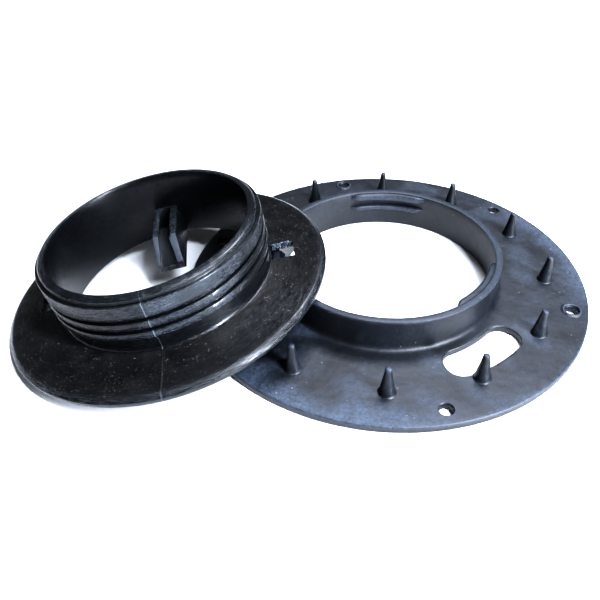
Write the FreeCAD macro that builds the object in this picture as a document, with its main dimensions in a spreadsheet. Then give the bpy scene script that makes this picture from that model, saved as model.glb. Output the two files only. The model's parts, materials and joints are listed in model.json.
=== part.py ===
import FreeCAD, Part
import math
import os

import Sketcher

# Two-part toilet flange: a spiked floor plate lying flat, and the threaded flange that screws into its
# collar, set down loose so that it leans on the collar.  Millimetres and degrees, +Z up.  The origin is
# on the plate's bore axis, at its underside.

DIMENSIONS = {
    # Spiked plate.
    "plate_radius": 89.0,
    "plate_thickness": 3.0,
    "plate_bore_radius": 47.5,
    "collar_top": 18.0,
    "collar_root_radius": 50.2,
    "collar_rim_radius": 50.7,
    "collar_root_fillet": 1.0,
    "collar_rim_round": 0.5,
    "plate_edge_round": 0.7,
    "spike_circle": 72.3,
    "spike_rise": 12.5,
    "spike_base_radius": 3.1,
    "spike_tip_radius": 1.3,
    "spike_embed": 0.5,
    "spike_bearing": 3.6,
    "screw_circle": 82.0,
    "screw_radius": 2.7,
    "screw_sink_radius": 3.0,
    "screw_sink_deep": 0.3,
    "screw_bearing": 45.0,
    "slot_inner_radius": 55.2,
    "slot_outer_radius": 69.5,
    "slot_low_bearing": -68.4,
    "slot_high_bearing": -34.0,
    "slot_corner_radius": 6.8,
    "ridge_tip_radius": 44.9,
    "ridge_root_radius": 48.5,
    "ridge_half_span": 25.5,
    "ridge_point_span": 5.0,
    "ridge_bearing": 91.6,
    "upper_ridge_low": 14.5,
    "lower_ridge_low": 9.2,
    "lower_ridge_top": 11.5,
    # Threaded flange, in its own frame: +Z along the spigot, zero at the disc's underside.
    "disc_radius": 69.0,
    "disc_thickness": 3.0,
    "disc_side_top": 1.9,
    "disc_bevel_width": 2.2,
    "lip_radius": 46.5,
    "lip_depth": 2.0,
    "flange_bore_radius": 42.0,
    "spigot_wall_radius": 45.1,
    "spigot_root_fillet": 0.9,
    "thread_low": 9.5,
    "thread_high": 27.2,
    "thread_crest_radius": 47.0,
    "thread_root_radius": 45.2,
    "neck_radius": 45.4,
    "neck_top": 28.7,
    "rim_radius": 44.7,
    "rim_shoulder": 29.3,
    "rim_top": 29.8,
    "groove_pitch": 5.0,
    "groove_turns": 2.94,
    "groove_start_bearing": 145.0,
    "groove_start_level": 7.46,
    "groove_over": 1.1,
    "groove_under": 0.65,
    "groove_root_under": 0.3,
    "groove_clear_radius": 47.6,
    "window_inner": 45.5,
    "window_outer": 55.7,
    "window_half_width": 5.3,
    "window_depth": 7.0,
    "window_bearing": 15.0,
    "lug_bearing": 106.0,
    "lug_root": 43.5,
    "lug_knee": 18.0,
    "lug_end": 8.0,
    "lug_rise": 12.7,
    "lug_end_rise": 3.8,
    "lug_left": 4.6,
    "lug_right": 6.2,
    "channel_left": 2.2,
    "channel_right": 3.4,
    "channel_floor": 3.0,
    "channel_step": 22.0,
    "channel_back": 39.5,
    "channel_depth": 1.6,
    # Where the flange lies: its disc's centre, and the lean of its spigot.
    "flange_x": -91.8,
    "flange_y": -29.2,
    "lean": 10.0,
    "lean_bearing": 193.3,
    "floor_gap": 0.05,
}
SPIKE_COUNT = 12
SCREW_COUNT = 6
RIDGE_COUNT = 3
WINDOW_COUNT = 2

doc = FreeCAD.newDocument("toilet_flange")
sheet = doc.addObject("Spreadsheet::Sheet", "dims")
for row, (alias, value) in enumerate(DIMENSIONS.items(), start=1):
    sheet.set(f"A{row}", alias)
    sheet.set(f"B{row}", str(value))
    sheet.setAlias(f"B{row}", alias)
doc.recompute()


def dim(name):
    return float(sheet.get(name))


def worth(formula):
    """The value of a sum such as "disc_radius - disc_bevel_width"."""
    total = 0.0
    sign = 1.0
    for word in formula.split():
        if word in "+-":
            sign = 1.0 if word == "+" else -1.0
        else:
            total += sign * (float(word) if word[0].isdigit() else dim(word))
    return total


def bound(formula):
    """The same sum as an expression on the sheet's cells."""
    words = formula.split()
    return " ".join(word if word in "+-" or word[0].isdigit() else f"dims.{word}" for word in words)


def origin_feature(body, role):
    return next(item for item in body.Origin.OriginFeatures if item.Role == role)


def new_body(name):
    body = doc.addObject("PartDesign::Body", name)
    body.Label = name
    doc.recompute()
    return body


def new_sketch(body, name, role="XZ_Plane", bearing=None, level=None):
    """A sketch on an origin plane, turned about Z to a bearing or raised to a level."""
    sketch = body.newObject("Sketcher::SketchObject", name)
    sketch.AttachmentSupport = [(origin_feature(body, role), "")]
    sketch.MapMode = "FlatFace"
    if bearing:
        upright = FreeCAD.Vector(0, 1, 0)
        turned = FreeCAD.Rotation(upright, worth(bearing))
        sketch.AttachmentOffset = FreeCAD.Placement(FreeCAD.Vector(), turned)
        sketch.setExpression("AttachmentOffset.Rotation.Angle", bound(bearing))
    if level:
        sketch.setExpression("AttachmentOffset.Base.z", bound(level))
    return sketch


def pin_point(sketch, geometry, end, across, up):
    """Hold one end of an edge at two sums of sheet cells."""
    for kind, formula in (("DistanceX", across), ("DistanceY", up)):
        index = sketch.addConstraint(Sketcher.Constraint(kind, -1, 1, geometry, end, worth(formula)))
        sketch.setExpression(f"Constraints[{index}]", bound(formula))


def add_outline(sketch, corners):
    """A closed outline of straight lines through corners given as pairs of sums."""
    places = [FreeCAD.Vector(worth(across), worth(up), 0) for across, up in corners]
    first = sketch.GeometryCount
    count = len(corners)
    for index, place in enumerate(places):
        sketch.addGeometry(Part.LineSegment(place, places[(index + 1) % count]), False)
    for index, (across, up) in enumerate(corners):
        after = first + (index + 1) % count
        sketch.addConstraint(Sketcher.Constraint("Coincident", first + index, 2, after, 1))
        pin_point(sketch, first + index, 1, across, up)


def add_axis(sketch, across):
    """A construction line parallel to Z, used as the axis of a small turned shape."""
    line = Part.LineSegment(FreeCAD.Vector(worth(across), 0, 0), FreeCAD.Vector(worth(across), 1, 0))
    index = sketch.addGeometry(line, True)
    pin_point(sketch, index, 1, across, "0")
    pin_point(sketch, index, 2, across, "1")


def add_feature(body, kind, name, profile=None, **settings):
    feature = body.newObject(f"PartDesign::{kind}", name)
    if profile:
        feature.Profile = profile
        profile.Visibility = False
    for key, value in settings.items():
        setattr(feature, key, value)
    body.Tip = feature
    doc.recompute()
    return feature


def turn(body, sketch, name, kind="Revolution", axis="V_Axis"):
    return add_feature(body, kind, name, sketch, ReferenceAxis=(sketch, [axis]), Angle=360.0)


def ring(body, originals, name, count):
    """Repeat features evenly about the body's Z axis."""
    settings = {"Originals": originals, "Axis": (origin_feature(body, "Z_Axis"), [""]), "Occurrences": count}
    return add_feature(body, "PolarPattern", name, Angle=360.0, **settings)


def circles_at(body, radius, level):
    """Names of the full circles of a radius about Z at a level."""
    names = []
    for index, edge in enumerate(body.Shape.Edges, start=1):
        round_edge = isinstance(edge.Curve, Part.Circle)
        if round_edge and abs(edge.Curve.Radius - radius) < 0.01 and abs(edge.Curve.Center.z - level) < 0.01:
            names.append(f"Edge{index}")
    return names


def uprights_between(body, inner, outer):
    """Names of the straight vertical edges whose distance from Z lies between two radii."""
    names = []
    for index, edge in enumerate(body.Shape.Edges, start=1):
        middle = edge.CenterOfMass
        reach = (middle.x ** 2 + middle.y ** 2) ** 0.5
        box = edge.BoundBox
        upright = isinstance(edge.Curve, Part.Line) and box.XLength + box.YLength < 0.001
        if upright and inner < reach < outer:
            names.append(f"Edge{index}")
    return names


def round_edges(body, name, edges, radius):
    if not edges:
        raise RuntimeError(f"{name}: no edge to round")
    fillet = add_feature(body, "Fillet", name, Base=(body.Tip, edges), Radius=dim(radius))
    fillet.setExpression("Radius", bound(radius))
    doc.recompute()
    return fillet


def removed(body, before, name):
    """Stop if a cut took nothing away."""
    if before - body.Shape.Volume < 1.0:
        raise RuntimeError(f"{name} cuts nothing")


def plate_and_collar(body):
    sketch = new_sketch(body, "plate_profile")
    add_outline(sketch, [
        ("plate_bore_radius", "0"),
        ("plate_radius", "0"),
        ("plate_radius", "plate_thickness"),
        ("collar_root_radius", "plate_thickness"),
        ("collar_rim_radius", "collar_top"),
        ("plate_bore_radius", "collar_top"),
    ])
    turn(body, sketch, "plate")
    root = circles_at(body, dim("collar_root_radius"), dim("plate_thickness"))
    round_edges(body, "collar_root", root, "collar_root_fillet")
    rim = circles_at(body, dim("collar_rim_radius"), dim("collar_top"))
    round_edges(body, "collar_rim", rim, "collar_rim_round")
    edge = circles_at(body, dim("plate_radius"), dim("plate_thickness"))
    round_edges(body, "plate_edge", edge, "plate_edge_round")


def kidney_slot(body):
    """One through slot that follows the collar, with rounded corners."""
    sketch = new_sketch(body, "slot_outline", "XY_Plane")
    low, high = (math.radians(dim(name)) for name in ("slot_low_bearing", "slot_high_bearing"))
    inner, outer = dim("slot_inner_radius"), dim("slot_outer_radius")
    hub = FreeCAD.Vector()
    up = FreeCAD.Vector(0, 0, 1)
    for radius in (inner, outer):
        sketch.addGeometry(Part.ArcOfCircle(Part.Circle(hub, up, radius), low, high), False)
    for angle in (low, high):
        along = FreeCAD.Vector(math.cos(angle), math.sin(angle), 0)
        sketch.addGeometry(Part.LineSegment(along * inner, along * outer), False)
    for arc, name in enumerate(("slot_inner_radius", "slot_outer_radius")):
        sketch.addConstraint(Sketcher.Constraint("Coincident", arc, 3, -1, 1))
        index = sketch.addConstraint(Sketcher.Constraint("Radius", arc, dim(name)))
        sketch.setExpression(f"Constraints[{index}]", bound(name))
    for line, name, end in ((2, "slot_low_bearing", 1), (3, "slot_high_bearing", 2)):
        sketch.addConstraint(Sketcher.Constraint("Coincident", line, 1, 0, end))
        sketch.addConstraint(Sketcher.Constraint("Coincident", line, 2, 1, end))
        index = sketch.addConstraint(Sketcher.Constraint("Angle", line, math.radians(dim(name))))
        sketch.setExpression(f"Constraints[{index}]", f"dims.{name} * 1deg")
    before = body.Shape.Volume
    add_feature(body, "Pocket", "slot", sketch, SideType="Symmetric", Type="ThroughAll")
    removed(body, before, "slot")
    corners = uprights_between(body, dim("slot_inner_radius") - 1, dim("slot_outer_radius") + 1)
    round_edges(body, "slot_corners", corners, "slot_corner_radius")


def spikes(body):
    """A ring of blunt cone spikes, each turned about its own axis."""
    sketch = new_sketch(body, "spike_profile")
    add_axis(sketch, "spike_circle")
    add_outline(sketch, [
        ("spike_circle", "plate_thickness - spike_embed"),
        ("spike_circle + spike_base_radius", "plate_thickness - spike_embed"),
        ("spike_circle + spike_base_radius", "plate_thickness"),
        ("spike_circle + spike_tip_radius", "plate_thickness + spike_rise - spike_embed"),
        ("spike_circle + spike_tip_radius - spike_embed", "plate_thickness + spike_rise"),
        ("spike_circle", "plate_thickness + spike_rise"),
    ])
    spike = turn(body, sketch, "spike", axis="Axis0")
    ring(body, [spike], "spike_ring", SPIKE_COUNT)


def screw_holes(body):
    """Countersunk holes near the rim, midway between spikes."""
    sketch = new_sketch(body, "screw_profile", bearing="screw_bearing")
    add_axis(sketch, "screw_circle")
    add_outline(sketch, [
        ("screw_circle", "0 - 1"),
        ("screw_circle + screw_radius", "0 - 1"),
        ("screw_circle + screw_radius", "plate_thickness - screw_sink_deep"),
        ("screw_circle + screw_sink_radius", "plate_thickness"),
        ("screw_circle + screw_sink_radius", "plate_thickness + 1"),
        ("screw_circle", "plate_thickness + 1"),
    ])
    before = body.Shape.Volume
    hole = turn(body, sketch, "screw_hole", kind="Groove", axis="Axis0")
    removed(body, before, "screw_hole")
    ring(body, [hole], "screw_ring", SCREW_COUNT)


def ridge_outline(sketch):
    """Plan of one inside ridge: a band of the bore wall with pointed ends, centred on its bearing."""
    half = math.radians(dim("ridge_half_span"))
    point = half - math.radians(dim("ridge_point_span"))
    middle = math.radians(dim("ridge_bearing"))
    root, tip = dim("ridge_root_radius"), dim("ridge_tip_radius")
    hub = FreeCAD.Vector()
    up = FreeCAD.Vector(0, 0, 1)
    sketch.addGeometry(Part.ArcOfCircle(Part.Circle(hub, up, root), middle - half, middle + half), False)
    sketch.addGeometry(Part.ArcOfCircle(Part.Circle(hub, up, tip), middle - point, middle + point), False)
    for side, angle, inner in ((1, middle - half, middle - point), (2, middle + half, middle + point)):
        far = FreeCAD.Vector(math.cos(angle), math.sin(angle), 0) * root
        near = FreeCAD.Vector(math.cos(inner), math.sin(inner), 0) * tip
        line = sketch.addGeometry(Part.LineSegment(far, near), False)
        sketch.addConstraint(Sketcher.Constraint("Coincident", line, 1, 0, side))
        sketch.addConstraint(Sketcher.Constraint("Coincident", line, 2, 1, side))
    for arc, name in enumerate(("ridge_root_radius", "ridge_tip_radius")):
        sketch.addConstraint(Sketcher.Constraint("Coincident", arc, 3, -1, 1))
        index = sketch.addConstraint(Sketcher.Constraint("Radius", arc, dim(name)))
        sketch.setExpression(f"Constraints[{index}]", bound(name))


def inside_ridges(body):
    """Pairs of ridges in the collar; a groove between them takes the flange's thread."""
    ridges = []
    for name, low, top in (("upper_ridge", "upper_ridge_low", "collar_top"),
                           ("lower_ridge", "lower_ridge_low", "lower_ridge_top")):
        sketch = new_sketch(body, f"{name}_outline", "XY_Plane", level=low)
        ridge_outline(sketch)
        ridge = add_feature(body, "Pad", name, sketch, Length=worth(f"{top} - {low}"))
        ridge.setExpression("Length", bound(f"{top} - {low}"))
        doc.recompute()
        ridges.append(ridge)
    ring(body, ridges, "ridge_ring", RIDGE_COUNT)


def build_spiked_plate():
    body = new_body("spiked_plate")
    plate_and_collar(body)
    kidney_slot(body)
    spikes(body)
    screw_holes(body)
    inside_ridges(body)
    turned = FreeCAD.Rotation(FreeCAD.Vector(0, 0, 1), dim("spike_bearing"))
    body.Placement = FreeCAD.Placement(FreeCAD.Vector(), turned)
    body.setExpression("Placement.Rotation.Angle", bound("spike_bearing"))
    return body


def disc_and_spigot(body):
    sketch = new_sketch(body, "flange_profile")
    add_outline(sketch, [
        ("flange_bore_radius", "0 - lip_depth"),
        ("lip_radius", "0 - lip_depth"),
        ("lip_radius", "0"),
        ("disc_radius", "0"),
        ("disc_radius", "disc_side_top"),
        ("disc_radius - disc_bevel_width", "disc_thickness"),
        ("spigot_wall_radius", "disc_thickness"),
        ("spigot_wall_radius", "thread_low"),
        ("thread_crest_radius", "thread_low"),
        ("thread_crest_radius", "thread_high"),
        ("neck_radius", "thread_high"),
        ("neck_radius", "neck_top"),
        ("rim_radius", "rim_shoulder"),
        ("flange_bore_radius", "rim_top"),
    ])
    turn(body, sketch, "disc_and_spigot")
    root = circles_at(body, dim("spigot_wall_radius"), dim("disc_thickness"))
    round_edges(body, "spigot_root", root, "spigot_root_fillet")


def thread_groove(body):
    """The thread is one right-hand groove, square on its upper side and sloping on its lower side."""
    sketch = new_sketch(body, "groove_profile", bearing="groove_start_bearing")
    level = "groove_start_level"
    add_outline(sketch, [
        ("thread_root_radius", f"{level} - groove_root_under"),
        ("thread_crest_radius", f"{level} - groove_under"),
        ("groove_clear_radius", f"{level} - groove_under"),
        ("groove_clear_radius", f"{level} + groove_over"),
        ("thread_root_radius", f"{level} + groove_over"),
    ])
    before = body.Shape.Volume
    groove = add_feature(body, "SubtractiveHelix", "thread_groove", sketch, Mode="pitch-turns-angle",
                         ReferenceAxis=(sketch, ["V_Axis"]), Pitch=dim("groove_pitch"),
                         Turns=dim("groove_turns"))
    groove.setExpression("Pitch", bound("groove_pitch"))
    groove.setExpression("Turns", bound("groove_turns"))
    doc.recompute()
    removed(body, before, "thread_groove")


def windows(body):
    """Square openings through the disc, hard against the spigot."""
    sketch = new_sketch(body, "window_outline", "XY_Plane")
    add_outline(sketch, [
        ("window_inner", "0 - window_half_width"),
        ("window_outer", "0 - window_half_width"),
        ("window_outer", "window_half_width"),
        ("window_inner", "window_half_width"),
    ])
    turned = FreeCAD.Rotation(FreeCAD.Vector(0, 0, 1), dim("window_bearing"))
    sketch.AttachmentOffset = FreeCAD.Placement(FreeCAD.Vector(), turned)
    sketch.setExpression("AttachmentOffset.Rotation.Angle", bound("window_bearing"))
    before = body.Shape.Volume
    window = add_feature(body, "Pocket", "window", sketch, SideType="Symmetric", Length=dim("window_depth"))
    window.setExpression("Length", bound("window_depth"))
    doc.recompute()
    removed(body, before, "window")
    ring(body, [window], "window_pair", WINDOW_COUNT)


def two_sided(body, kind, name, sketch, left, right):
    feature = add_feature(body, kind, name, sketch, SideType="Two sides",
                          Length=dim(left), Length2=dim(right))
    feature.setExpression("Length", bound(left))
    feature.setExpression("Length2", bound(right))
    doc.recompute()
    return feature


def channel_lug(body):
    """A lug that reaches in from the bore wall, with a channel along its top and a snapped end."""
    side = new_sketch(body, "lug_side", bearing="lug_bearing")
    add_outline(side, [
        ("lug_end", "0"),
        ("lug_root", "0"),
        ("lug_root", "lug_rise"),
        ("lug_knee", "lug_rise"),
        ("lug_end", "lug_end_rise"),
    ])
    two_sided(body, "Pad", "lug", side, "lug_right", "lug_left")
    channel = new_sketch(body, "channel_side", bearing="lug_bearing")
    add_outline(channel, [
        ("lug_end - 1", "lug_end_rise - channel_depth - channel_depth"),
        ("lug_knee + 1", "lug_rise - channel_depth"),
        ("channel_step", "lug_rise - channel_depth"),
        ("channel_step", "channel_floor"),
        ("channel_back", "channel_floor"),
        ("channel_back", "lug_rise + 1"),
        ("lug_end - 1", "lug_rise + 1"),
    ])
    before = body.Shape.Volume
    two_sided(body, "Pocket", "channel", channel, "channel_right", "channel_left")
    removed(body, before, "channel")


def build_threaded_flange():
    body = new_body("threaded_flange")
    disc_and_spigot(body)
    windows(body)
    channel_lug(body)
    thread_groove(body)
    lean = dim("lean")
    bearing = math.radians(dim("lean_bearing"))
    hinge = FreeCAD.Vector(-math.sin(bearing), math.cos(bearing), 0)
    height = dim("disc_radius") * math.sin(math.radians(lean)) + dim("floor_gap")
    centre = FreeCAD.Vector(dim("flange_x"), dim("flange_y"), height)
    body.Placement = FreeCAD.Placement(centre, FreeCAD.Rotation(hinge, lean))
    body.setExpression("Placement.Base.x", bound("flange_x"))
    body.setExpression("Placement.Base.y", bound("flange_y"))
    body.setExpression("Placement.Rotation.Angle", bound("lean"))
    return body


pieces = [build_spiked_plate(), build_threaded_flange()]
doc.recompute()

for item in doc.Objects:
    if "Invalid" in item.State or "Error" in item.State:
        raise RuntimeError(f"{item.Label} did not build: {item.State}")
for piece in pieces:
    if piece.Shape.isNull() or not piece.Shape.isValid():
        raise RuntimeError(f"{piece.Label} is not a valid solid")
    volume = round(piece.Shape.Volume / 1000, 2)
    print(f"{piece.Label}: {len(piece.Shape.Solids)} solid, {volume} cm3")

os.makedirs("parts", exist_ok=True)
for piece in pieces:
    piece.Shape.exportStep(f"parts/{piece.Label}.step")
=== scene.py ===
"""Looks of a two-part toilet flange: a spiked floor plate and the threaded flange that leans on its collar."""

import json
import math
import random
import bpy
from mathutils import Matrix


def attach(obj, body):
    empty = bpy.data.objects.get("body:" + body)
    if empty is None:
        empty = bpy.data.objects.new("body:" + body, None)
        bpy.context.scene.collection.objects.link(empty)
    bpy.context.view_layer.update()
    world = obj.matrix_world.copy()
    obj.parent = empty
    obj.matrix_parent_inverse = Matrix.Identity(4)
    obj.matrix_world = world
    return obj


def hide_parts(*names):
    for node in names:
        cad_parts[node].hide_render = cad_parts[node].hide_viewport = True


bl_info = {
    "name": "Toilet Flange",
    "version": (1, 0, 0),
    "blender": (4, 5, 0),
    "location": "View3D > Sidebar > Toilet Flange",
    "description": "Builds a spiked floor plate, its threaded flange and a plain studio",
    "category": "Add Mesh",
}

import bmesh
import bpy
from bpy.props import FloatProperty, FloatVectorProperty, IntProperty, PointerProperty
from mathutils import Matrix, Vector, noise

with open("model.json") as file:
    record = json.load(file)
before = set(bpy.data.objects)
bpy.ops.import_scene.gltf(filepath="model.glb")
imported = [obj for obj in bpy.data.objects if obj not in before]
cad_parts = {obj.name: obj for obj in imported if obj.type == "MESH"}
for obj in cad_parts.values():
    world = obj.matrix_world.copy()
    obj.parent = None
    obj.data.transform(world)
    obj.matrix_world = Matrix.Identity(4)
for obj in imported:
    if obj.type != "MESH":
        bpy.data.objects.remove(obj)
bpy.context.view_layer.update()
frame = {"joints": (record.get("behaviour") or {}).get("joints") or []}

MM = 0.001
PLATE_BODY = "spiked_plate"
FLANGE_BODY = "threaded_flange"
PLATE_LEVEL = 3.0
HINGE = frame["joints"][0]
SPIGOT_AXIS = Vector(HINGE["axis"])
FLANGE_FRAME = (
    Matrix.Translation(Vector(HINGE["pos_m"]))
    @ Vector((0, 0, 1)).rotation_difference(SPIGOT_AXIS).to_matrix().to_4x4()
)


def linear(colour):
    """An sRGB hex colour as linear red, green, blue and alpha."""
    levels = [int(colour[i : i + 2], 16) / 255 for i in (1, 3, 5)]
    return tuple(c / 12.92 if c <= 0.04045 else ((c + 0.055) / 1.055) ** 2.4 for c in levels) + (1.0,)


def colour_setting(name, text, value):
    return FloatVectorProperty(
        name=name, description=text, subtype="COLOR", size=4, min=0.0, max=1.0, default=linear(value)
    )


def length_setting(name, text, value):
    return FloatProperty(name=name, description=text, unit="LENGTH", min=0.0, default=value * MM)


class PlateSettings(bpy.types.PropertyGroup):
    rim_radius: length_setting("Rim radius", "Outside radius of the floor plate", 89.0)
    bore_radius: length_setting("Bore radius", "Radius of the collar's bore", 47.5)
    collar_top: length_setting("Collar top", "Height of the collar above the floor", 18.0)
    spike_circle: length_setting("Spike circle", "Radius of the ring of spikes", 72.3)
    spike_rise: length_setting("Spike rise", "Height of a spike above the plate", 12.5)
    spike_count: IntProperty(name="Spikes", description="Spikes round the plate", min=1, default=12)
    screw_circle: length_setting("Screw circle", "Radius of the ring of screw holes", 82.0)
    screw_radius: length_setting("Screw hole radius", "Radius of a screw hole", 2.7)


class FlangeSettings(bpy.types.PropertyGroup):
    disc_radius: length_setting("Disc radius", "Outside radius of the disc", 69.0)
    bore_radius: length_setting("Bore radius", "Radius of the waste bore", 42.0)
    crest_radius: length_setting("Crest radius", "Outside radius of the thread", 47.0)
    wall_radius: length_setting("Wall radius", "Outside radius of the spigot below the thread", 45.1)
    pitch: length_setting("Pitch", "Rise of the thread in one turn", 5.0)


class FinishSettings(bpy.types.PropertyGroup):
    plate_colour: colour_setting("Plate", "Matte slate black of the floor plate", "#0A0B0D")
    # Also the colour of the painted sheen inside the plate's rim.
    scuff_colour: colour_setting("Scuffs", "Pale haze where the plastic is rubbed", "#525E6E")
    flange_colour: colour_setting("Flange", "Satin black of the threaded flange", "#060708")
    # Also the colour of the painted highlight on the thread's crest.
    scratch_colour: colour_setting("Scratches", "Grey of scratched black plastic", "#7B8692")
    dust_colour: colour_setting("Dust", "Fine dry dust", "#B4ADA1")
    floor_colour: colour_setting("Floor", "Plain pale floor", "#F2F1EF")


# ---------------------------------------------------------------- shapes


def loose_object(name, built, place=None):
    """Turn a bmesh in millimetres into an object in metres."""
    bmesh.ops.recalc_face_normals(built, faces=built.faces)
    bmesh.ops.scale(built, vec=(MM, MM, MM), verts=built.verts)
    mesh = bpy.data.meshes.new(name)
    built.to_mesh(mesh)
    built.free()
    made = bpy.data.objects.new(name, mesh)
    bpy.context.scene.collection.objects.link(made)
    if place is not None:
        made.matrix_world = place
    return made


def finish_piece(name, built, body, material, place=None, smooth_angle=35.0):
    """Turn a bmesh in millimetres into a shown piece in metres that moves with its body."""
    piece = loose_object(name, built, place)
    piece.data.materials.append(material)
    piece.data.shade_smooth()
    piece.data.set_sharp_from_angle(angle=math.radians(smooth_angle))
    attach(piece, body)
    return piece


def polar(radius, bearing, height):
    angle = math.radians(bearing)
    return Vector((radius * math.cos(angle), radius * math.sin(angle), height))


def add_rings(built, rings, closed=True, cyclic=True):
    """Skin rows of equally many points; each row is a ring, and the rings may close on the first."""
    rows = [[built.verts.new(point) for point in ring] for ring in rings]
    count = len(rows[0])
    for i in range(len(rows) - (0 if closed else 1)):
        low, high = rows[i], rows[(i + 1) % len(rows)]
        for j in range(count - (0 if cyclic else 1)):
            k = (j + 1) % count
            built.faces.new((low[j], low[k], high[k], high[j]))
    return rows


def add_block(built, rings):
    """Skin rows of points and close both ends."""
    rows = add_rings(built, rings, closed=False)
    built.faces.new(rows[0])
    built.faces.new(rows[-1])


def wave(point, size, amount, seed=0.0):
    """Smooth unevenness of about the given size and height, the same each run."""
    return amount * noise.noise(Vector(point) / size + Vector((seed, seed * 1.7, seed * 0.6)))


def smooth_step(value, low, high):
    t = min(1.0, max(0.0, (value - low) / (high - low)))
    return t * t * (3 - 2 * t)


def paint_wear(piece, rule):
    """Store how worn each point is, and where a rule paints highlight or sheen, how much, for the material; rule
    takes a point in millimetres.
    """
    wear = piece.data.attributes.new("wear", "FLOAT", "POINT")
    wear.data.foreach_set("value", [rule(vertex.co / MM) for vertex in piece.data.vertices])


def settle(piece):
    """Keep each point's place in the piece's own frame for its material, then move the mesh to the shared frame."""
    own = piece.data.attributes.new("own_place", "FLOAT_VECTOR", "POINT")
    own.data.foreach_set("vector", [value for vertex in piece.data.vertices for value in vertex.co])
    piece.data.transform(piece.matrix_world)
    piece.matrix_world = Matrix.Identity(4)


def apply_modifiers(piece):
    """Make the modified shape the piece's own mesh."""
    bpy.context.view_layer.update()
    graph = bpy.context.evaluated_depsgraph_get()
    mesh = bpy.data.meshes.new_from_object(piece.evaluated_get(graph))
    piece.modifiers.clear()
    old = piece.data
    piece.data = mesh
    bpy.data.meshes.remove(old)
    mesh.name = piece.name


def cut_with(piece, cutters):
    """Cut the objects in the list out of a piece, then drop them."""
    for cutter in cutters:
        cut = piece.modifiers.new(cutter.name, "BOOLEAN")
        cut.operation = "DIFFERENCE"
        cut.solver = "EXACT"
        cut.object = cutter
    apply_modifiers(piece)
    for cutter in cutters:
        bpy.data.objects.remove(cutter)


# ---------------------------------------------------------------- materials

POLYPROPYLENE_IOR = 1.49


def add_node(tree, kind, inputs=None, **settings):
    """Add a node; inputs maps a socket to a value or to another node's output."""
    node = tree.nodes.new(kind)
    for key, value in settings.items():
        setattr(node, key, value)
    for key, value in (inputs or {}).items():
        if isinstance(value, bpy.types.NodeSocket):
            tree.links.new(value, node.inputs[key])
        else:
            node.inputs[key].default_value = value
    return node


def per_metre(size_mm):
    """Texture scale for a pattern whose features are about this many millimetres."""
    return 1000.0 / size_mm


def new_material(name):
    material = bpy.data.materials.new(name)
    material.use_nodes = True
    tree = material.node_tree
    tree.nodes.clear()
    output = add_node(tree, "ShaderNodeOutputMaterial")
    shader = add_node(tree, "ShaderNodeBsdfPrincipled")
    tree.links.new(shader.outputs["BSDF"], output.inputs["Surface"])
    return material, tree, shader


def noise_node(tree, place, size_mm, detail=4.0, roughness=0.55, distortion=0.0):
    values = {"Vector": place, "Scale": per_metre(size_mm), "Detail": detail}
    values.update({"Roughness": roughness, "Distortion": distortion})
    return add_node(tree, "ShaderNodeTexNoise", values)


def stretch(tree, value, low, high, to_low=0.0, to_high=1.0):
    settings = {"Value": value, "From Min": low, "From Max": high, "To Min": to_low, "To Max": to_high}
    return add_node(tree, "ShaderNodeMapRange", settings, clamp=True).outputs["Result"]


def sum_of(tree, kind, first, second):
    return add_node(tree, "ShaderNodeMath", {0: first, 1: second}, operation=kind).outputs["Value"]


def blend_colour(tree, factor, first, second):
    mix = add_node(tree, "ShaderNodeMix", data_type="RGBA")
    for index, value in ((0, factor), (6, first), (7, second)):
        if isinstance(value, bpy.types.NodeSocket):
            tree.links.new(value, mix.inputs[index])
        else:
            mix.inputs[index].default_value = value
    return mix.outputs[2]


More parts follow.
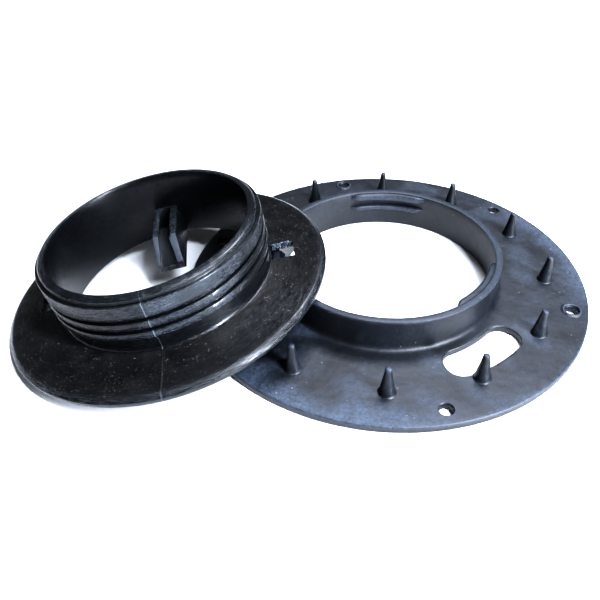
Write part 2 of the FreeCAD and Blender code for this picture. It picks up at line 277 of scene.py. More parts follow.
def moulded_polypropylene_matte(finish):
    """Carbon-black polypropylene from a blasted mould: matte, slate, with a pale haze where it is rubbed and a
    painted sheen inside the rim on two sides.
    """
    material, tree, shader = new_material("moulded_polypropylene_matte")
    place = add_node(tree, "ShaderNodeTexCoord").outputs["Object"]
    wear = add_node(tree, "ShaderNodeAttribute", attribute_name="wear").outputs["Fac"]
    # Cloudy haze 24 mm across, broken by 6 mm rubs and by a 1.2 mm mottle.
    cloud = stretch(tree, noise_node(tree, place, 24.0, 5.0, 0.6, 0.6).outputs["Fac"], 0.38, 0.7)
    rubs = stretch(tree, noise_node(tree, place, 6.0, 6.0, 0.7, 1.5).outputs["Fac"], 0.42, 0.76)
    mottle = stretch(tree, noise_node(tree, place, 1.2, 5.0, 0.8).outputs["Fac"], 0.36, 0.7)
    haze = sum_of(tree, "MULTIPLY", cloud, sum_of(tree, "ADD", 0.3, rubs))
    # The wear attribute lightens the haze: real scuffs, plus painted sheen inside the rim on two sides.
    haze = sum_of(tree, "ADD", sum_of(tree, "MULTIPLY", haze, 0.2), sum_of(tree, "MULTIPLY", wear, 0.6))
    haze = sum_of(tree, "MULTIPLY", sum_of(tree, "ADD", haze, 0.03), sum_of(tree, "ADD", 0.25, mottle))
    colour = blend_colour(tree, stretch(tree, haze, 0.0, 1.0), finish.plate_colour, finish.scuff_colour)
    # Dust specks half a millimetre wide lie here and there.
    specks = add_node(tree, "ShaderNodeTexVoronoi", {"Vector": place, "Scale": per_metre(2.6)}, feature="F1")
    dots = stretch(tree, specks.outputs["Distance"], 0.14, 0.08)
    dots = sum_of(tree, "MULTIPLY", dots, stretch(tree, noise_node(tree, place, 9.0).outputs["Fac"], 0.55, 0.7))
    colour = blend_colour(tree, sum_of(tree, "MULTIPLY", dots, 0.5), colour, finish.dust_colour)
    tree.links.new(colour, shader.inputs["Base Color"])
    tree.links.new(stretch(tree, haze, 0.0, 0.6, 0.44, 0.64), shader.inputs["Roughness"])
    shader.inputs["IOR"].default_value = POLYPROPYLENE_IOR
    # Blasted grain 0.5 mm across over slow waves 12 mm across.
    grain = noise_node(tree, place, 0.5, 3.0, 0.6).outputs["Fac"]
    waves = noise_node(tree, place, 12.0, 2.0, 0.5).outputs["Fac"]
    grain_bump = add_node(tree, "ShaderNodeBump", {"Height": grain, "Strength": 0.5, "Distance": 0.00018})
    bump_inputs = {"Height": waves, "Strength": 0.5, "Distance": 0.0009, "Normal": grain_bump.outputs["Normal"]}
    bump = add_node(tree, "ShaderNodeBump", bump_inputs)
    tree.links.new(bump.outputs["Normal"], shader.inputs["Normal"])
    return material


def moulded_polypropylene_satin(finish):
    """The same plastic from a polished mould: near black, scratched round the thread, with a painted highlight on
    the crest at one side, dusty on the disc.
    """
    material, tree, shader = new_material("moulded_polypropylene_satin")
    place = add_node(tree, "ShaderNodeAttribute", attribute_name="own_place").outputs["Vector"]
    wear = add_node(tree, "ShaderNodeAttribute", attribute_name="wear").outputs["Fac"]
    dusty = add_node(tree, "ShaderNodeAttribute", attribute_name="dust").outputs["Fac"]
    # Scratches 0.3 mm wide run round the spigot and the disc: the pattern is drawn out along the bearing.
    split = add_node(tree, "ShaderNodeSeparateXYZ", {"Vector": place})
    bearing = add_node(
        tree, "ShaderNodeMath", {0: split.outputs["Y"], 1: split.outputs["X"]}, operation="ARCTAN2"
    ).outputs["Value"]
    along = sum_of(tree, "MULTIPLY", bearing, 0.006)
    level_place = add_node(tree, "ShaderNodeCombineXYZ", {"X": split.outputs["X"], "Y": split.outputs["Y"]})
    radius = add_node(tree, "ShaderNodeVectorMath", {0: level_place.outputs["Vector"]}, operation="LENGTH")
    around = add_node(
        tree, "ShaderNodeCombineXYZ", {"X": along, "Y": radius.outputs["Value"], "Z": split.outputs["Z"]}
    )
    lines = noise_node(tree, around.outputs["Vector"], 0.35, 4.0, 0.7).outputs["Fac"]
    lines = stretch(tree, lines, 0.5, 0.72)
    patches = stretch(tree, noise_node(tree, place, 8.0, 4.0, 0.6).outputs["Fac"], 0.4, 0.66)
    fine = stretch(tree, noise_node(tree, place, 0.7, 4.0, 0.75).outputs["Fac"], 0.46, 0.72)
    marks = sum_of(tree, "ADD", sum_of(tree, "MULTIPLY", lines, 0.55), sum_of(tree, "MULTIPLY", fine, 0.45))
    marks = sum_of(tree, "MULTIPLY", marks, sum_of(tree, "ADD", 0.2, patches))
    worn = sum_of(tree, "MULTIPLY", sum_of(tree, "ADD", 0.08, marks), sum_of(tree, "MINIMUM", wear, 1.0))
    worn = sum_of(tree, "ADD", sum_of(tree, "MULTIPLY", worn, 0.6), stretch(tree, wear, 1.0, 1.7, 0.0, 0.4))
    # Worn points take the scratch grey; on the crest near bearing 308 that grey is a painted highlight.
    colour = blend_colour(tree, worn, finish.flange_colour, finish.scratch_colour)
    # Dust film 15 mm across, with pale specks half a millimetre wide.
    film = stretch(tree, noise_node(tree, place, 15.0, 6.0, 0.65, 0.8).outputs["Fac"], 0.35, 0.75)
    film = sum_of(tree, "MULTIPLY", sum_of(tree, "MULTIPLY", film, dusty), 0.04)
    specks = add_node(tree, "ShaderNodeTexVoronoi", {"Vector": place, "Scale": per_metre(1.2)}, feature="F1")
    dots = stretch(tree, specks.outputs["Distance"], 0.26, 0.15)
    dots = sum_of(tree, "MULTIPLY", dots, stretch(tree, noise_node(tree, place, 4.0).outputs["Fac"], 0.44, 0.64))
    dots = sum_of(tree, "MULTIPLY", sum_of(tree, "MULTIPLY", dots, dusty), 0.42)
    colour = blend_colour(tree, sum_of(tree, "MAXIMUM", film, dots), colour, finish.dust_colour)
    tree.links.new(colour, shader.inputs["Base Color"])
    rough = sum_of(tree, "ADD", stretch(tree, worn, 0.0, 0.5, 0.24, 0.48), sum_of(tree, "MULTIPLY", dusty, 0.1))
    tree.links.new(rough, shader.inputs["Roughness"])
    shader.inputs["IOR"].default_value = POLYPROPYLENE_IOR
    waves = noise_node(tree, place, 7.0, 3.0, 0.5).outputs["Fac"]
    ridged = sum_of(tree, "MULTIPLY", lines, stretch(tree, wear, 0.0, 0.8, 0.15, 1.0))
    line_bump = add_node(tree, "ShaderNodeBump", {"Height": ridged, "Strength": 0.8, "Distance": 0.00022})
    grain = noise_node(tree, place, 0.8, 3.0, 0.6).outputs["Fac"]
    grain_inputs = {"Height": grain, "Strength": 0.18, "Distance": 0.0001, "Normal": line_bump.outputs["Normal"]}
    grain_bump = add_node(tree, "ShaderNodeBump", grain_inputs)
    bump_inputs = {"Height": waves, "Strength": 0.2, "Distance": 0.0004, "Normal": grain_bump.outputs["Normal"]}
    bump = add_node(tree, "ShaderNodeBump", bump_inputs)
    tree.links.new(bump.outputs["Normal"], shader.inputs["Normal"])
    return material


def torn_polypropylene(finish):
    """Broken black plastic: glossy, pulled into small facets, with pale stretched edges."""
    material, tree, shader = new_material("torn_polypropylene")
    place = add_node(tree, "ShaderNodeAttribute", attribute_name="own_place").outputs["Vector"]
    pulls = noise_node(tree, place, 1.3, 5.0, 0.7, 1.2).outputs["Fac"]
    pale = stretch(tree, pulls, 0.46, 0.6)
    wear = add_node(tree, "ShaderNodeAttribute", attribute_name="wear").outputs["Fac"]
    colour = blend_colour(tree, sum_of(tree, "MULTIPLY", pale, wear), finish.flange_colour, finish.scratch_colour)
    tree.links.new(colour, shader.inputs["Base Color"])
    tree.links.new(stretch(tree, pulls, 0.4, 0.7, 0.16, 0.4), shader.inputs["Roughness"])
    shader.inputs["IOR"].default_value = POLYPROPYLENE_IOR
    bump = add_node(tree, "ShaderNodeBump", {"Height": pulls, "Strength": 0.9, "Distance": 0.0007})
    tree.links.new(bump.outputs["Normal"], shader.inputs["Normal"])
    return material


def matte_board(finish):
    """Painted board under the part: pale and flat, with a faint roller texture 1.5 mm across."""
    material, tree, shader = new_material("matte_board")
    place = add_node(tree, "ShaderNodeTexCoord").outputs["Object"]
    roller = noise_node(tree, place, 1.5, 3.0).outputs["Fac"]
    shader.inputs["Base Color"].default_value = finish.floor_colour
    shader.inputs["Roughness"].default_value = 0.75
    bump = add_node(tree, "ShaderNodeBump", {"Height": roller, "Strength": 0.05, "Distance": 0.0001})
    tree.links.new(bump.outputs["Normal"], shader.inputs["Normal"])
    return material


def finish_named(maker):
    """The material a maker function gives, made once."""
    return bpy.data.materials.get(maker.__name__) or maker(bpy.context.scene.flange_finish)


# ---------------------------------------------------------------- floor plate

SPIKE_BEARING = 3.6
SCREW_BEARING = 48.6
SLOT_BEARINGS = (-64.8, -30.4)
SLOT_RADII = (55.2, 69.5)
SLOT_CORNER = 6.8
CORNER_STEPS = 10
SCREW_COUNT = 6
LIPPED_SCREWS = (1, 5)
RIDGE_BEARINGS = (91.6, -28.4, 211.6)
UPPER_RIDGE_FOOT = 14.5
LOWER_RIDGE = (9.2, 11.5)
RIDGE_SPAN = 25.5
RIDGE_POINT = 9.0
RIDGE_UNDER = ((48.3, -1), (46.6, -1), (45.7, -0.96), (45.15, -0.82), (44.98, -0.5), (44.95, 0))
RIDGE_SECTION = RIDGE_UNDER + tuple((across, -up) for across, up in reversed(RIDGE_UNDER[:-1]))
SPIKE_SIDES = 28
SPIKE_SHOULDER = 11.4
SPIKE_SHANK = ((3.75, -0.25), (3.6, -0.02), (3.38, 0.08), (3.22, 0.28), (3.12, 0.7), (2.95, 1.6))
SPIKE_SHANK += ((2.56, 3.6), (2.14, 5.8), (1.76, 8.0), (1.45, 10.0), (1.29, SPIKE_SHOULDER))


def plate_profile(plate):
    """Radius and height round the plate and collar's section, starting at the bore's lower edge."""
    rim, bore, top = (value / MM for value in (plate.rim_radius, plate.bore_radius, plate.collar_top))
    level = PLATE_LEVEL
    points = [(bore, 0.35), (bore + 0.3, 0.0), (60.0, 0.0), (75.0, 0.0), (rim - 0.45, 0.0)]
    points += [(rim - 0.12, 0.12), (rim, 0.5), (rim, 1.4), (rim - 0.03, level - 0.75)]
    points += [(rim - 0.2, level - 0.3), (rim - 0.5, level - 0.08), (rim - 0.95, level)]
    points += [(radius, level) for radius in (86.8, 85, 82.5, 80, 77, 74, 71, 68, 65, 62, 59, 56, 54, 53.0)]
    points += [(52.3, level + 0.03), (51.5, level + 0.2), (50.85, level + 0.6), (50.45, level + 1.2)]
    points += [(50.28, 5.2), (50.35, 9.0), (50.5, 13.0), (50.65, 16.6), (50.62, top - 0.5)]
    points += [(50.45, top - 0.18), (50.1, top - 0.02), (49.2, top), (48.4, top), (bore + 0.5, top - 0.03)]
    points += [(bore + 0.15, top - 0.2), (bore, top - 0.6), (bore, 14.0), (bore, 10.0), (bore, 5.0)]
    return points


def uneven_plate(point):
    """Moulding sag: the top face swells and dips by a tenth of a millimetre."""
    swell = smooth_step(point.z, 2.2, 3.0)
    return Vector((point.x, point.y, point.z + swell * wave(point, 17.0, 0.22, 3.1)))


def slot_outline(grow):
    """Closed outline of the curved slot, grown outwards by some millimetres."""
    inner, outer = SLOT_RADII[0] - grow, SLOT_RADII[1] + grow
    corner = SLOT_CORNER + grow
    points = []
    for radius, inward, order in ((outer, -1, (0, 1)), (inner, 1, (1, 0))):
        centre = radius + inward * corner
        for side in order:
            away = -1 if side == 0 else 1
            edge = math.radians(SLOT_BEARINGS[side])
            offset = math.asin((corner - grow) / centre)
            turn = edge - away * offset
            hub = Vector((centre * math.cos(turn), centre * math.sin(turn), 0))
            outward = Vector((math.cos(turn), math.sin(turn), 0)) * -inward
            across = Vector((-math.sin(turn), math.cos(turn), 0)) * away
            start_out = (side == 1) == (radius == outer)
            for i in range(CORNER_STEPS + 1):
                t = i / CORNER_STEPS * math.pi / 2
                first, second = (outward, across) if start_out else (across, outward)
                points.append(hub + (first * math.cos(t) + second * math.sin(t)) * corner)
    return points


def ordered_slot(grow):
    """The outline in bearing order: along the outer arc, round one end, back along the inner arc."""
    points = slot_outline(grow)
    quarter = len(points) // 4
    low_outer, high_outer = points[:quarter], points[quarter : 2 * quarter]
    high_inner, low_inner = points[2 * quarter : 3 * quarter], points[3 * quarter :]
    outer, inner = SLOT_RADII[1] + grow, SLOT_RADII[0] - grow
    first, last = SLOT_BEARINGS[0] + 7.5, SLOT_BEARINGS[1] - 7.5
    arc = [first + (last - first) * i / 16 for i in range(17)]
    outline = low_outer + [polar(outer, bearing, 0) for bearing in arc]
    outline += high_outer + high_inner
    outline += [polar(inner, bearing, 0) for bearing in reversed(arc)] + low_inner
    return outline


def slot_cutter():
    """A block of the slot's shape that flares by half a millimetre at both faces, to break the edges."""
    built = bmesh.new()
    levels = ((-1.5, 0.6), (0.0, 0.45), (0.35, 0.0), (2.45, 0.0), (2.75, 0.1), (3.0, 0.4))
    levels += ((3.2, 0.8), (4.5, 2.0))
    rings = []
    for height, grow in levels:
        rings.append([Vector((p.x, p.y, height)) for p in ordered_slot(grow)])
    add_block(built, rings)
    return loose_object("slot_cutter", built)


def screw_place(index, plate, level):
    return polar(plate.screw_circle / MM, SCREW_BEARING + 360 / SCREW_COUNT * index, level)


def screw_cutter(index, plate):
    """A countersunk drill shape at one screw place."""
    hole = plate.screw_radius / MM
    centre = screw_place(index, plate, 0)
    built = bmesh.new()
    levels = ((-1.5, hole + 0.9), (0.0, hole + 0.25), (0.3, hole), (2.4, hole), (2.75, hole + 0.08))
    levels += ((3.0, hole + 0.3), (3.4, hole + 0.7), (4.5, hole + 1.6))
    rings = [[centre + polar(radius, 360 * i / 40, height) for i in range(40)] for height, radius in levels]
    add_block(built, rings)
    return loose_object(f"screw_cutter_{index}", built)


def plate_wear(point):
    """Rubbed places: the collar's lip, the plate's edge and spots inside its rim; inside the rim on the front and
    right sides, a painted sheen.
    """
    radius = math.hypot(point.x, point.y)
    rim = smooth_step(radius, 87.6, 88.8) * smooth_step(point.z, 1.6, 2.6) * 0.5
    lip = smooth_step(point.z, 17.4, 17.9) * 0.35
    bearing = math.degrees(math.atan2(point.y, point.x))
    # On the front and right sides inside the rim this haze is painted sheen.
    outer = smooth_step(radius + wave(point, 11.0, 6.0, 5.0), 76.0, 86.0)
    painted_sheen_side = max(smooth_step(45 - abs(bearing + 104), 0, 25), smooth_step(38 - abs(bearing - 22), 0, 22))
    rub_and_sheen = smooth_step(wave(point, 14.0, 1.0, 8.0), 0.05, 0.45) * 0.35
    rub_and_sheen = max(rub_and_sheen, 0.85 * outer * painted_sheen_side) * smooth_step(point.z, 2.4, 2.9)
    return min(1.0, max(rim, lip, rub_and_sheen if radius > 51 else 0.0))


class FLANGE_OT_floor_plate(bpy.types.Operator):
    """Build the flat floor plate with its collar, curved slot and screw holes"""

    bl_idname = "flange.floor_plate"
    bl_label = "Floor Plate"

    def execute(self, context):
        plate = context.scene.flange_plate
        built = bmesh.new()
        bearings = [360 * i / 288 for i in range(288)]
        rings = [[uneven_plate(polar(r, b, z)) for b in bearings] for r, z in plate_profile(plate)]
        add_rings(built, rings)
        material = finish_named(moulded_polypropylene_matte)
        piece = finish_piece("floor_plate", built, PLATE_BODY, material)
        cut_with(piece, [slot_cutter()] + [screw_cutter(i, plate) for i in range(SCREW_COUNT)])
        piece.data.set_sharp_from_angle(angle=math.radians(35))
        paint_wear(piece, plate_wear)
        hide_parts("spiked_plate")
        return {"FINISHED"}


class FLANGE_OT_spikes(bpy.types.Operator):
    """Build the ring of blunt spikes on the floor plate"""

    bl_idname = "flange.spikes"
    bl_label = "Spikes"

    def execute(self, context):
        plate = context.scene.flange_plate
        draw = random.Random(12)
        built = bmesh.new()
        rise = plate.spike_rise / MM
        for index in range(plate.spike_count):
            centre = polar(plate.spike_circle / MM, SPIKE_BEARING + 360 * index / plate.spike_count, 0)
            lean = Vector((draw.uniform(-0.02, 0.02), draw.uniform(-0.02, 0.02), 0))
            tall = rise * draw.uniform(0.965, 1.0)
            top = tall - SPIKE_SHOULDER
            tip = [(r, SPIKE_SHOULDER + top * share) for r, share in ((1.2, 0.55), (1.03, 0.82), (0.68, 0.97))]
            rings = []
            for radius, height in (*SPIKE_SHANK, *tip):
                base = centre + lean * height + Vector((0, 0, PLATE_LEVEL + height))
                ring = []
                for i in range(SPIKE_SIDES):
                    bearing = 360 * i / SPIKE_SIDES
                    rough = 1 + wave(base + polar(radius, bearing, 0), 1.8, 0.05, index)
                    ring.append(base + polar(radius * rough, bearing, 0))
                rings.append(ring)
            add_block(built, rings)
        material = finish_named(moulded_polypropylene_matte)
        piece = finish_piece("plate_spikes", built, PLATE_BODY, material, smooth_angle=60)
        tip = PLATE_LEVEL + rise
        paint_wear(piece, lambda point: 0.5 * smooth_step(point.z, tip - 1.6, tip))
        return {"FINISHED"}


def ridge_rings(low, high, bearing):
    """Rounded section of one ridge swept round the bore wall, dying into it at both ends."""
    rings = []
    steps = 44
    middle, thick = (low + high) / 2, (high - low) / 2
    for i in range(steps + 1):
        t = 2 * i / steps - 1
        span = RIDGE_SPAN * math.copysign(1 - (1 - abs(t)) ** 1.5, t)
        near_end = smooth_step(RIDGE_SPAN - abs(span), 0.0, RIDGE_POINT)
        reach = 44.95 + (1 - near_end) ** 1.6 * 2.9
        pinch = 0.35 + 0.65 * near_end
        row = []
        for across, up in RIDGE_SECTION:
            radius = max(across, reach) if across < 48 else across
            radius += 0.9 * (1 - near_end) * (1 if across < 47 else 0)
            radius = min(radius, 48.3)
            point = polar(radius, bearing + span, middle + up * thick * (pinch if across < 48 else 0.6))
            rough = wave(point, 1.6, 0.06, 5.0)
            row.append(point + Vector((rough, rough, rough * 0.6)))
        rings.append(row)
    return rings


class FLANGE_OT_collar_ridges(bpy.types.Operator):
    """Build the pairs of ridges inside the collar that take the thread"""

    bl_idname = "flange.collar_ridges"
    bl_label = "Collar Ridges"

    def execute(self, context):
        built = bmesh.new()
        top = context.scene.flange_plate.collar_top / MM
        for bearing in RIDGE_BEARINGS:
            for low, high in ((UPPER_RIDGE_FOOT, top + 0.06), LOWER_RIDGE):
                add_block(built, ridge_rings(low, high, bearing))
        material = finish_named(moulded_polypropylene_matte)
        piece = finish_piece("collar_ridges", built, PLATE_BODY, material, smooth_angle=50)
        paint_wear(piece, lambda point: 0.08 + 0.35 * smooth_step(47.2 - math.hypot(point.x, point.y), 1.0, 2.2))
        return {"FINISHED"}


class FLANGE_OT_hole_lips(bpy.types.Operator):
    """Build the raised burrs round two of the screw holes"""

    bl_idname = "flange.hole_lips"
    bl_label = "Hole Lips"

    def execute(self, context):
        plate = context.scene.flange_plate
        built = bmesh.new()
        section = ((3.05, -0.3), (3.1, 0.35), (3.35, 0.68), (3.7, 0.72), (4.05, 0.45))
        section += ((4.5, 0.1), (4.9, -0.15))
        for index in LIPPED_SCREWS:
            centre = screw_place(index, plate, PLATE_LEVEL)
            rings = []
            for radius, height in section:
                ring = []
                for i in range(48):
                    bearing = 360 * i / 48
                    rough = wave(polar(radius, bearing, index * 9), 1.5, 0.22, 2.0)
                    ring.append(centre + polar(radius + rough * 0.5, bearing, height + rough * (height > 0)))
                rings.append(ring)
            add_rings(built, rings)
        material = finish_named(moulded_polypropylene_matte)
        piece = finish_piece("hole_lips", built, PLATE_BODY, material, smooth_angle=60)
        paint_wear(piece, lambda point: 0.75 * smooth_step(point.z, PLATE_LEVEL + 0.2, PLATE_LEVEL + 0.7))
        return {"FINISHED"}


# ---------------------------------------------------------------- threaded flange

THREAD_LOW = 9.5
THREAD_HIGH = 27.2
THREAD_ROUND = 0.35
GROOVE_START_BEARING = 145.0
GROOVE_START_LEVEL = 7.46
GROOVE_ANGLE = 1058.4
GROOVE_FADE = 14.0
GROOVE_ROOT = 45.2
CROWN = 0.42
GROOVE_STEPS = (-1.95, -1.6, -1.3, -1.0, -0.75, -0.68, -0.6, -0.45, -0.32, -0.26, 0.0, 0.5, 0.9, 0.98)
GROOVE_STEPS += (1.03, 1.08, 1.14, 1.2, 1.38, 1.6, 1.85, 1.97, 2.05, 2.13, 2.21, 2.5, 2.75, 3.05)
GROOVE_SLOPE = (-0.7, -0.28)
GROOVE_SHOULDER = (0.97, 1.15)
BEVEL_FOOT, BEVEL_TOP = 1.0, 2.0
NOTCH_LEVEL, NOTCH_REACH, NOTCH_DEPTH = 2.05, 0.08, 0.16
RIDGE_MIDDLES = (-2.27, 2.73)
RIDGE_HALF = 1.6
PARTING_BEARING = 286.0
FLASH_HEIGHT = 0.2
FLASH_REACH = 0.24
WINDOW_BEARINGS = (15.0, 195.0)


def groove_depth(offset):
    """Share of the full depth at a height above the groove's middle: sloping below, square above."""
    return smooth_step(offset, *GROOVE_SLOPE) * (1.0 - smooth_step(offset, *GROOVE_SHOULDER))


def lower_edge(offset):
    """How far the ridge above a groove draws in along its lower edge, under a hairline notch."""
    notch = NOTCH_DEPTH * max(0.0, 1 - abs(offset - NOTCH_LEVEL) / NOTCH_REACH)
    bevel = 0.1 + 0.3 * (BEVEL_TOP - offset) if BEVEL_FOOT <= offset < BEVEL_TOP else 0.0
    return notch + bevel


def crown(offset):
    """The ridge's face is rounded: 0 along its middle and 1 at both edges."""
    return min(1.0, abs(offset - RIDGE_MIDDLES[offset > 0]) / RIDGE_HALF) ** 2


def parting_flash(bearing):
    """Height of the burr left along the mould's parting line."""
    away = (bearing - PARTING_BEARING + 180) % 360 - 180
    return FLASH_HEIGHT * math.exp(-((away / FLASH_REACH) ** 2))


def thread_radius(bearing, level, flange):
    """Radius of the threaded band at a bearing and level."""
    pitch, crest = flange.pitch / MM, flange.crest_radius / MM
    turned = (level - GROOVE_START_LEVEL - GROOVE_STEPS[-1]) / pitch * 360 + GROOVE_START_BEARING
    total = bearing + 360 * math.ceil((turned - bearing) / 360 - 1e-9)
    offset = level - GROOVE_START_LEVEL - pitch * (total - GROOVE_START_BEARING) / 360
    along = total - GROOVE_START_BEARING
    present = smooth_step(GROOVE_ANGLE + GROOVE_FADE - along, 0.0, GROOVE_FADE) if along > -1 else 0.0
    drawn = max((crest - GROOVE_ROOT) * groove_depth(offset), lower_edge(offset), CROWN * crown(offset))
    return crest - drawn * present


def flange_bearings():
    """Every 2.25 degrees, and finer across the parting line."""
    fine = [PARTING_BEARING + step for step in (-0.9, -0.55, -0.36, -0.18, 0, 0.18, 0.36, 0.55, 0.9)]
    coarse = [2.25 * i for i in range(160) if abs(2.25 * i - PARTING_BEARING) > 1.2]
    return sorted(coarse + fine)


def band_edge(flange, bearings, outline_level, steps, least):
    """Rows that round an edge of the threaded band, drawn in from its outline at one level."""
    rows = []
    for level, less in steps:
        row = []
        for b in bearings:
            base = thread_radius(b, outline_level, flange) + parting_flash(b) - less
            row.append(polar(max(base, least), b, level))
        rows.append(row)
    return rows


def spigot_rings(flange):
    """Rows from the top of the thread over the rim, down the bore, round the disc and up to the thread's foot."""
    bore, disc, wall = (value / MM for value in (flange.bore_radius, flange.disc_radius, flange.wall_radius))
    low, high = THREAD_LOW + THREAD_ROUND, THREAD_HIGH - THREAD_ROUND
    above = [(45.5, THREAD_HIGH + 0.02), (45.42, 27.4), (45.4, 28.0), (45.38, 28.62), (45.25, 28.8)]
    above += [(44.85, 29.16), (44.6, 29.3), (43.9, 29.46), (43.0, 29.66)]
    above += [(bore + 0.5, 29.76), (bore + 0.15, 29.66)]
    inside = [(bore, 29.3)] + [(bore, level) for level in (26, 22, 18, 14, 10, 6, 2, -1.7)]
    under = [(bore + 0.3, -2.0), (44.5, -2.0), (46.2, -2.0), (46.5, -1.7), (46.5, -0.2), (46.8, 0.0)]
    under += [(52, 0.0), (58, 0.0), (64, 0.0), (disc - 0.35, 0.0), (disc - 0.08, 0.1), (disc, 0.4)]
    side = [(disc, 1.0), (disc, 1.55), (disc - 0.1, 1.72), (disc - 0.45, 2.0)]
    side += [(disc - 1.1, 2.52), (disc - 1.62, 2.9)]
    over = [(disc - 1.95, 3.0), (disc - 3.2, 3.02)] + [(r, 3.0) for r in (64, 62, 60, 57.5, 55, 52.5, 50, 48.2)]
    foot = [(46.6, 3.02), (46.0, 3.12), (45.5, 3.4), (45.2, 3.85), (wall, 4.4), (wall, 6.0), (wall, 8.0)]
    foot += [(wall, THREAD_LOW - 0.15), (wall + 0.12, THREAD_LOW)]
    bearings = flange_bearings()
    edge = ((high, 0.0), (THREAD_HIGH - 0.2, 0.05), (THREAD_HIGH - 0.06, 0.16), (THREAD_HIGH, 0.35))
    rings = band_edge(flange, bearings, high, edge, 45.55)
    for radius, level in above + inside + under + side + over + foot:
        row = []
        for b in bearings:
            burr = parting_flash(b) if radius > bore + 3 and level > 0.3 else 0.0
            flat = radius > 46.9 and level > 2.9
            point = polar(radius + (0.0 if flat else burr), b, level + (0.45 * burr if flat else 0.0))
            if level > 2.5:
                point.z += wave(point, 16.0, 0.05, 6.0)
            row.append(point)
        rings.append(row)
    edge = ((THREAD_LOW, 0.35), (THREAD_LOW + 0.06, 0.16), (THREAD_LOW + 0.2, 0.05), (low, 0.0))
    return rings + band_edge(flange, bearings, low, edge, 45.25)


def thread_strip(built, flange):
    """The threaded band as one strip that climbs with the groove, trimmed level at its foot and top."""
    pitch = flange.pitch / MM
    low, high = THREAD_LOW + THREAD_ROUND, THREAD_HIGH - THREAD_ROUND
    bearings = flange_bearings()
    previous = None
    for turn in range(-1, 6):
        for bearing in bearings:
            total = bearing + 360 * turn
            middle = GROOVE_START_LEVEL + pitch * (total - GROOVE_START_BEARING) / 360
            if middle + GROOVE_STEPS[-1] < low - 0.2 or middle + GROOVE_STEPS[0] > high + 0.2:
                continue
            row = []
            for step in GROOVE_STEPS:
                level = min(high, max(low, middle + step))
                radius = thread_radius(bearing, level, flange)
                if radius > 46.2:
                    radius += parting_flash(bearing)
                row.append(built.verts.new(polar(radius, bearing, level)))
            if previous:
                for i in range(len(row) - 1):
                    built.faces.new((previous[i], row[i], row[i + 1], previous[i + 1]))
            previous = row


def flange_place(bearing):
    """The flange's own frame, turned to face a bearing."""
    return FLANGE_FRAME @ Matrix.Rotation(math.radians(bearing), 4, "Z")


def window_cutter(index, bearing):
    """A block for one square window, wandering a little where the plastic was trimmed by hand."""
    built = bmesh.new()
    rings = []
    for level in (-3.0, -0.4, 0.3, 1.2, 2.2, 3.0, 4.6):
        ring = []
        for start, end in (
            ((45.6, -5.3), (55.7, -5.3)),
            ((55.7, -5.3), (55.7, 5.3)),
            ((55.7, 5.3), (45.6, 5.3)),
            ((45.6, 5.3), (45.6, -5.3)),
        ):
            for i in range(8):
                t = i / 8
                x, y = (start[0] + (end[0] - start[0]) * t, start[1] + (end[1] - start[1]) * t)
                rough = wave((x, y, level + index * 20), 1.7, 0.28, 4.0) if x > 46 else 0.0
                ring.append(Vector((x + rough, y + rough, level)))
        rings.append(ring)
    add_block(built, rings)
    return loose_object(f"window_cutter_{index}", built, flange_place(bearing))


def flange_wear(point):
    """Scratches on the thread's crest and rim, with a painted highlight on the crest round bearing 308; above one
    it is the pale line of the parting burr.
    """
    radius = math.hypot(point.x, point.y)
    bearing = math.degrees(math.atan2(point.y, point.x)) % 360
    if radius < 42.1 or point.z < 0.2:
        return 0.05
    burr = parting_flash(bearing) / FLASH_HEIGHT
    if point.z > 27.4:
        return 0.22 + 0.9 * burr
    if point.z > THREAD_LOW - 0.2 and radius < 48:
        crest = smooth_step(radius, 46.4, 46.95)
        # Round bearing 308 the crest is painted paler: a painted highlight over real scratches.
        rub_and_highlight = smooth_step(34 - abs(bearing - 308), 0, 22)
        band = (0.2 if point.z > 19.5 else 0.1) + 0.75 * rub_and_highlight
        return 0.08 + band * crest + 1.3 * burr * crest
    edge = smooth_step(radius, 66.2, 67.2) * 0.16
    return 0.08 + edge + (1.1 if radius > 66.5 else 0.9 * edge + 0.25) * burr


def flange_dust(point):
    """Dust lies on the disc, thickest round the spigot's foot."""
    radius = math.hypot(point.x, point.y)
    on_disc = smooth_step(radius, 45.6, 46.4) * smooth_step(point.z, 2.0, 2.8) * (point.z < 4.5)
    foot = smooth_step(58.0 - radius, 0.0, 9.0)
    return min(1.0, on_disc * (0.55 + 0.45 * foot)) if point.z < 9 else 0.03


class FLANGE_OT_spigot_and_disc(bpy.types.Operator):
    """Build the threaded spigot with its disc and two windows"""

    bl_idname = "flange.spigot_and_disc"
    bl_label = "Spigot and Disc"

    def execute(self, context):
        flange = context.scene.flange_spigot
        built = bmesh.new()
        add_rings(built, spigot_rings(flange), closed=False)
        thread_strip(built, flange)
        bmesh.ops.remove_doubles(built, verts=built.verts, dist=0.0005)
        bmesh.ops.dissolve_degenerate(built, edges=built.edges, dist=0.0004)
        material = finish_named(moulded_polypropylene_satin)
        piece = finish_piece(
            "spigot_and_disc", built, FLANGE_BODY, material, FLANGE_FRAME, smooth_angle=32
        )
        cut_with(piece, [window_cutter(i, bearing) for i, bearing in enumerate(WINDOW_BEARINGS)])
        piece.data.set_sharp_from_angle(angle=math.radians(32))
        paint_wear(piece, flange_wear)
        dust = piece.data.attributes.new("dust", "FLOAT", "POINT")
        dust.data.foreach_set("value", [flange_dust(vertex.co / MM) for vertex in piece.data.vertices])
        settle(piece)
        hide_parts("threaded_flange")
        return {"FINISHED"}


